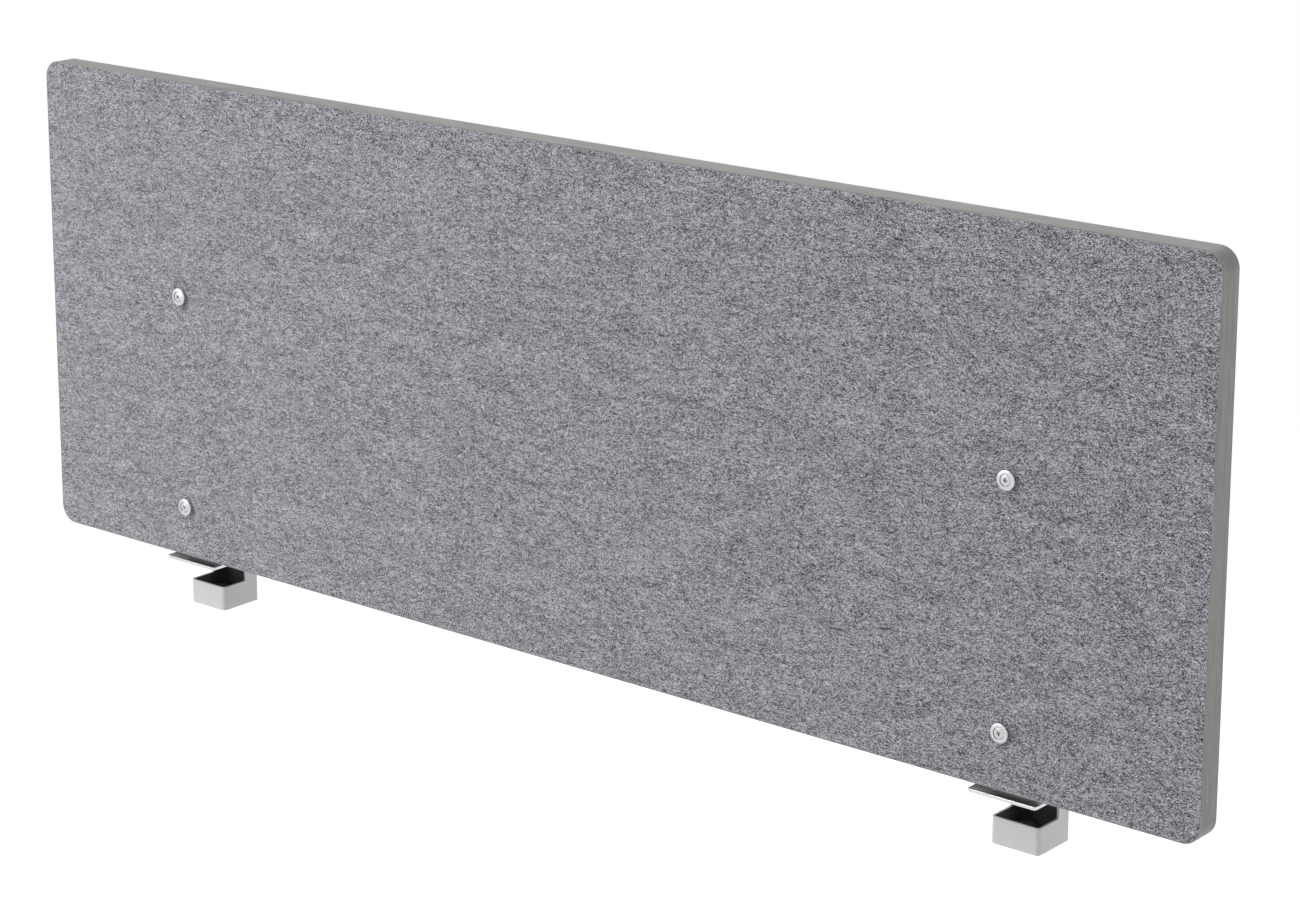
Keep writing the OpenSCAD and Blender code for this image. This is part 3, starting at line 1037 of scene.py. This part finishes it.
def base_plate(side):
    """The plate that closes the tube's lower end, with the hole for the bush."""
    sizes = clamp_sizes()
    node = "floor_plate_" + side
    _, low, high = node_box(node)
    bush, _, _ = node_box("threaded_bush_" + side)
    half, edge_radius = 10 * MM, 0.3 * MM
    bm = bmesh.new()
    box_plan(bm, low, high, sizes.inner_radius, 4)
    for step in (-half, 0, half):
        cut(bm, (bush.x + step, 0, 0), (1, 0, 0))
        cut(bm, (0, bush.y + step, 0), (0, 1, 0))
    round_hole(bm, bush.x, bush.y, half, [sizes.bush_hole / 2], 48)
    thicken(bm, high.z - low.z, low.z)
    soften(bm, sharp_edges(bm, 60), edge_radius, 2)
    finished("base_plate_" + side, bm, "tube_paint", node)


def turned_piece(name, profile, slot, node, body="screen"):
    """A turned piece on a clamp's spindle axis. Its profile starts at the node's lowest point."""
    centre, low, _ = node_box(node)
    bm = bmesh.new()
    turned(bm, profile)
    finish_turned(bm)
    move(bm, (centre.x, centre.y, low.z))
    finished(name, bm, slot, node, body)


BUSH_PROFILE = [
    (4.05, 0.4), (4.4, 0.05), (6.6, 0.0), (7.0, 0.35), (7.0, 3.0), (9.3, 3.0), (9.5, 3.2),
    (9.5, 4.8), (9.3, 5.0), (7.0, 5.0), (7.0, 11.7), (6.7, 12.0), (4.45, 12.0), (4.05, 11.6),
]
DISC_PROFILE = [
    (2.55, 0.25), (2.8, 0.0), (11.6, 0.0), (11.9, 0.1), (12.0, 0.4), (12.0, 2.1), (11.9, 2.4),
    (11.6, 2.5), (2.8, 2.5), (2.55, 2.25),
]
FACING_PROFILE = [
    (5.5, 0.0), (12.0, 0.0), (12.0, 1.6), (11.9, 1.88), (11.6, 2.0), (10.9, 2.0), (10.7, 1.5), (10.3, 1.5),
    (10.1, 2.0), (9.3, 2.0), (9.1, 1.5), (8.7, 1.5), (8.5, 2.0), (7.7, 2.0), (7.5, 1.5), (7.1, 1.5),
    (6.9, 2.0), (5.8, 2.0), (5.5, 1.7),
]


def thread(bm, root, crest, pitch, low, high, steps):
    """A screw thread between two heights, in millimetres. Returns the two open loops at its ends."""
    turns = math.ceil((high - low) / pitch) + 2
    start = low - pitch
    shape = [(root, 0.0), (root, 0.12), (crest, 0.42), (crest, 0.58), (root, 0.88), (root, 1.0)]
    points = [bm.verts.new((radius * MM, 0, (start + share * pitch) * MM)) for radius, share in shape]
    edges = [bm.edges.new(pair) for pair in zip(points, points[1:])]
    bmesh.ops.spin(
        bm, geom=points + edges, cent=(0, 0, 0), axis=(0, 0, 1), dvec=(0, 0, pitch * MM / steps),
        angle=FULL_TURN * turns, steps=steps * turns, use_merge=False, use_duplicate=False,
    )
    bmesh.ops.remove_doubles(bm, verts=bm.verts, dist=2 * NEAR)
    cut(bm, (0, 0, low * MM), (0, 0, 1), inner=True)
    cut(bm, (0, 0, high * MM), (0, 0, 1), outer=True)
    return [
        [edge for edge in open_edges(bm) if all(abs(vert.co.z - z * MM) < 2 * NEAR for vert in edge.verts)]
        for z in (low, high)
    ]


def spindle_rod(side):
    """The spindle: a thread, a six sided socket from below, a neck and a riveted head."""
    sizes = clamp_sizes()
    node = "clamp_spindle_" + side
    centre, low, high = node_box(node)
    pitch = sizes.pitch / MM
    tall = (high.z - low.z) / MM
    chamfer, thread_low, thread_high = 0.3, 1.0, tall - 6.2
    core, root, crest, facets = 3.1, 3.32, 3.96, 48
    # The socket: from its middle to a flat, its lead-in, how deep it goes on, and its mouth's share
    flat, lead, deep, wider = 2.0, 0.25, 4.75, 1.07
    bm = bmesh.new()
    lower, upper = thread(bm, root, crest, pitch, thread_low, thread_high, facets)
    # The plain shoulder, neck and riveted head above the thread
    edges = circle_loop(bm, (0, 0, thread_high * MM), core * MM, facets)
    fill_between(bm, upper, edges, (0, 0, 1))
    radius, height = core, thread_high
    for next_radius, next_height in (
        (core, tall - 6.0), (3.95, tall - 5.5), (3.98, tall - 5.4), (3.98, tall - 4.1), (3.78, tall - 3.9),
        (2.5, tall - 3.9), (2.5, tall - 1.2), (3.9, tall - 1.2), (4.0, tall - 1.0), (3.9, tall - 0.55),
        (3.3, tall - 0.15), (2.2, tall),
    ):
        edges = pull(bm, edges, (0, 0, (next_height - height) * MM), next_radius / radius)
        radius, height = next_radius, next_height
    bmesh.ops.edgeloop_fill(bm, edges=edges)
    # The chamfered end with its socket
    edges = circle_loop(bm, (0, 0, thread_low * MM), core * MM, facets)
    fill_between(bm, lower, edges, (0, 0, 1))
    edges = pull(bm, edges, (0, 0, (chamfer - thread_low) * MM), 1.02)
    edges = pull(bm, edges, (0, 0, -chamfer * MM), 0.92)
    corner = flat / math.cos(math.radians(30))
    mouth = circle_loop(bm, (0, 0, 0), wider * corner * MM, 6)
    fill_between(bm, edges, mouth, (0, 0, 1))
    edges = pull(bm, mouth, (0, 0, lead * MM), 1 / wider)
    edges = pull(bm, edges, (0, 0, deep * MM))
    bmesh.ops.edgeloop_fill(bm, edges=edges)
    finish_turned(bm)
    move(bm, (centre.x, centre.y, low.z))
    finished("spindle_rod_" + side, bm, "zinc_steel", node, side + "_spindle")


# The studio

def studio_floor():
    """A pale floor that shows white to the camera, apart from the object's shadow."""
    studio = bpy.context.scene.desk_screen_studio
    bm = bmesh.new()
    level = Matrix.Translation((0, 0, -studio.drop))
    bmesh.ops.create_grid(bm, x_segments=4, y_segments=4, size=30, matrix=level)
    floor = add_object("studio_floor", as_mesh("studio_floor", bm))
    material = bpy.data.materials.new("Studio floor")
    material.use_nodes = True
    board = Board(material.node_tree)
    place = board.add("ShaderNodeTexCoord").outputs["Object"]
    mottle = board.group(handling_marks, Vector=place, Size=1.2, Amount=0.02)["Shade"]
    matt = board.add("ShaderNodeBsdfDiffuse", {"Color": board.shaded(colours().floor, mottle)})
    x, y, _ = board.add("ShaderNodeSeparateXYZ", {0: place}).outputs
    away = board.maths("SQRT", board.maths("ADD", board.maths("POWER", x, 2), board.maths("POWER", y, 2)))
    rays = board.add("ShaderNodeLightPath").outputs
    lift = board.times(rays["Is Camera Ray"], 0.5)
    white = board.add("ShaderNodeEmission", {"Color": WHITE, "Strength": 1.0})
    glow = board.add("ShaderNodeEmission", {"Color": WHITE, "Strength": lift})
    lifted = board.add("ShaderNodeAddShader", {0: matt.outputs[0], 1: glow.outputs[0]})
    far = board.times(board.step(away, 1.6, 3.4, 0.0, 1.0), rays["Is Camera Ray"])
    share = board.maths("MAXIMUM", far, rays["Is Glossy Ray"])
    mixed = board.add("ShaderNodeMixShader", {0: share, 1: lifted.outputs[0], 2: white.outputs[0]})
    board.add("ShaderNodeOutputMaterial", {0: mixed.outputs[0]})
    floor.data.materials.append(material)


def soft_lamp(name, place, size, power):
    """A soft area lamp that looks at the screen."""
    data = bpy.data.lights.new(name, "AREA")
    data.shape = "RECTANGLE"
    data.size, data.size_y = size
    data.energy = power
    lamp = add_object(name, data)
    lamp.location = place
    lamp.rotation_mode = "QUATERNION"
    lamp.rotation_quaternion = (LAMP_AIM - Vector(place)).to_track_quat("-Z", "Y")


def white_room():
    """A world that is white to the camera and in reflections, and gives a plain soft light."""
    world = bpy.data.worlds.new("White room")
    world.use_nodes = True
    board = Board(world.node_tree)
    rays = board.add("ShaderNodeLightPath").outputs
    through = board.maths("MAXIMUM", rays["Is Camera Ray"], rays["Is Transmission Ray"])
    seen = board.maths("MAXIMUM", through, rays["Is Glossy Ray"])
    # The far side of the room, behind the screen, is darker in reflections
    way = board.add("ShaderNodeTexCoord").outputs["Generated"]
    _, back, _ = board.add("ShaderNodeSeparateXYZ", {0: way}).outputs
    room = board.maths("MAXIMUM", board.step(back, 0.1, 0.55, 1.0, 0.1), through)
    white = board.add("ShaderNodeBackground", {"Color": WHITE, "Strength": room})
    surround = bpy.context.scene.desk_screen_studio.surround
    light = board.add("ShaderNodeBackground", {"Color": WHITE, "Strength": surround})
    mixed = board.add("ShaderNodeMixShader", {0: seen, 1: light.outputs[0], 2: white.outputs[0]})
    board.add("ShaderNodeOutputWorld", {0: mixed.outputs[0]})
    bpy.context.scene.world = world


def photo_camera():
    """A long lens in front of the screen, to the right and above."""
    data = bpy.data.cameras.new("camera")
    data.sensor_fit = "HORIZONTAL"
    data.sensor_width = 36
    data.lens = 93.24
    data.shift_y = -0.15
    data.dof.use_dof = False
    camera = add_object("camera", data)
    place = Matrix.Translation((1.9885, -2.329, 1.1015))
    yaw = Matrix.Rotation(math.radians(39.48), 4, "Z")
    pitch = Matrix.Rotation(math.radians(90 - 13.0), 4, "X")
    roll = Matrix.Rotation(math.radians(0.11), 4, "Z")
    camera.matrix_world = place @ yaw @ pitch @ roll
    bpy.context.scene.camera = camera


# Operators

class ScreenOperator:
    """What all the operators of the desk screen share."""

    bl_options = {"REGISTER", "UNDO"}


class DESKSCREEN_OT_felt(ScreenOperator, bpy.types.Operator):
    """Make the two melange felt facings"""

    bl_idname = "desk_screen.felt"
    bl_label = "Felt facings"

    def execute(self, context):
        felt_facing("felt_facing_front", "front_felt", False)
        felt_facing("felt_facing_back", "back_felt", True)
        return {"FINISHED"}


class DESKSCREEN_OT_band(ScreenOperator, bpy.types.Operator):
    """Make the band round the panel's rim"""

    bl_idname = "desk_screen.band"
    bl_label = "Edge band"

    def execute(self, context):
        edge_trim()
        return {"FINISHED"}


class DESKSCREEN_OT_hidden(ScreenOperator, bpy.types.Operator):
    """Finish the core board, sleeves and inserts, whose shapes come with the frame"""

    bl_idname = "desk_screen.hidden"
    bl_label = "Core, sleeves and inserts"

    def execute(self, context):
        finishes = {"core_board": pressed_core(), "panel_sleeves": zinc_steel(), "rivet_nuts": zinc_steel()}
        for name, material in finishes.items():
            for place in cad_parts[name].material_slots:
                place.material = material
        return {"FINISHED"}


class DESKSCREEN_OT_fasteners(ScreenOperator, bpy.types.Operator):
    """Make the four finishing washers and the four screws in them"""

    bl_idname = "desk_screen.fasteners"
    bl_label = "Washers and screws"

    def execute(self, context):
        fasteners("washer_set", washer_ring, "finishing_washers")
        fasteners("screw_set", screw_body, "panel_screws")
        return {"FINISHED"}


class DESKSCREEN_OT_tubes(ScreenOperator, bpy.types.Operator):
    """Make the two slotted clamp tubes, their caps and the plates that close them"""

    bl_idname = "desk_screen.tubes"
    bl_label = "Clamp tubes"

    def execute(self, context):
        for side in SIDES:
            tube_shell(side)
            tube_plug(side)
            base_plate(side)
        return {"FINISHED"}


class DESKSCREEN_OT_jaws(ScreenOperator, bpy.types.Operator):
    """Make the two fixed jaws and the pads under them"""

    bl_idname = "desk_screen.jaws"
    bl_label = "Jaws"

    def execute(self, context):
        for side in SIDES:
            jaw_bar(side)
            jaw_cushion(side)
        return {"FINISHED"}


class DESKSCREEN_OT_spindles(ScreenOperator, bpy.types.Operator):
    """Make the bushes, spindles, pressure discs and their facings"""

    bl_idname = "desk_screen.spindles"
    bl_label = "Spindles"

    def execute(self, context):
        for side in SIDES:
            disc = side + "_disc"
            turned_piece("turned_bush_" + side, BUSH_PROFILE, "zinc_steel", "threaded_bush_" + side)
            turned_piece("thrust_disc_" + side, DISC_PROFILE, "zinc_steel", "pressure_disc_" + side, disc)
            turned_piece("grip_ring_" + side, FACING_PROFILE, "rubber", "disc_facing_" + side, disc)
            spindle_rod(side)
        return {"FINISHED"}


class DESKSCREEN_OT_studio(ScreenOperator, bpy.types.Operator):
    """Make the floor, the lamps, the white room and the camera"""

    bl_idname = "desk_screen.studio"
    bl_label = "Studio"

    def execute(self, context):
        studio = context.scene.desk_screen_studio
        studio_floor()
        white_room()
        soft_lamp("key_lamp", (-3.0, -3.9, 3.8), (3.0, 3.0), studio.key)
        soft_lamp("side_lamp", (2.9, 0.3, 0.9), (1.2, 1.4), studio.side)
        soft_lamp("low_lamp", (-1.7, -1.9, 0.4), (0.8, 0.6), studio.low)
        soft_lamp("rear_lamp", (-0.7, 1.5, 2.6), (1.6, 1.2), studio.rear)
        photo_camera()
        context.scene.view_settings.view_transform = "Standard"
        return {"FINISHED"}


class DESKSCREEN_PT_sidebar(bpy.types.Panel):
    """Sizes, colours and operators of the desk screen"""

    bl_idname = "DESKSCREEN_PT_sidebar"
    bl_label = "Desk Screen"
    bl_space_type = "VIEW_3D"
    bl_region_type = "UI"
    bl_category = "Desk Screen"

    def draw(self, context):
        for group in GROUPS:
            box = self.layout.box()
            box.label(text=group.__doc__)
            settings = getattr(context.scene, GROUPS[group])
            for name in group.__annotations__:
                box.prop(settings, name)
        for operator in OPERATORS:
            self.layout.operator(operator.bl_idname)


GROUPS = {
    DeskScreenPanelSizes: "desk_screen_panel",
    DeskScreenClampSizes: "desk_screen_clamps",
    DeskScreenColours: "desk_screen_colours",
    DeskScreenStudio: "desk_screen_studio",
}
OPERATORS = (
    DESKSCREEN_OT_felt,
    DESKSCREEN_OT_band,
    DESKSCREEN_OT_hidden,
    DESKSCREEN_OT_fasteners,
    DESKSCREEN_OT_tubes,
    DESKSCREEN_OT_jaws,
    DESKSCREEN_OT_spindles,
    DESKSCREEN_OT_studio,
)


def register():
    """Adds the settings, the operators and the sidebar panel."""
    for group, name in GROUPS.items():
        bpy.utils.register_class(group)
        setattr(bpy.types.Scene, name, PointerProperty(type=group))
    for operator in OPERATORS:
        bpy.utils.register_class(operator)
    bpy.utils.register_class(DESKSCREEN_PT_sidebar)


def unregister():
    """Takes away what register added."""
    bpy.utils.unregister_class(DESKSCREEN_PT_sidebar)
    for operator in reversed(OPERATORS):
        bpy.utils.unregister_class(operator)
    for group, name in reversed(GROUPS.items()):
        delattr(bpy.types.Scene, name)
        bpy.utils.unregister_class(group)


def main():
    """Builds the whole model."""
    register()
    bpy.ops.desk_screen.studio()
    bpy.ops.desk_screen.felt()
    bpy.ops.desk_screen.band()
    bpy.ops.desk_screen.hidden()
    bpy.ops.desk_screen.fasteners()
    bpy.ops.desk_screen.tubes()
    bpy.ops.desk_screen.jaws()
    bpy.ops.desk_screen.spindles()
    bpy.context.view_layer.update()


if __name__ == "__main__":
    main()
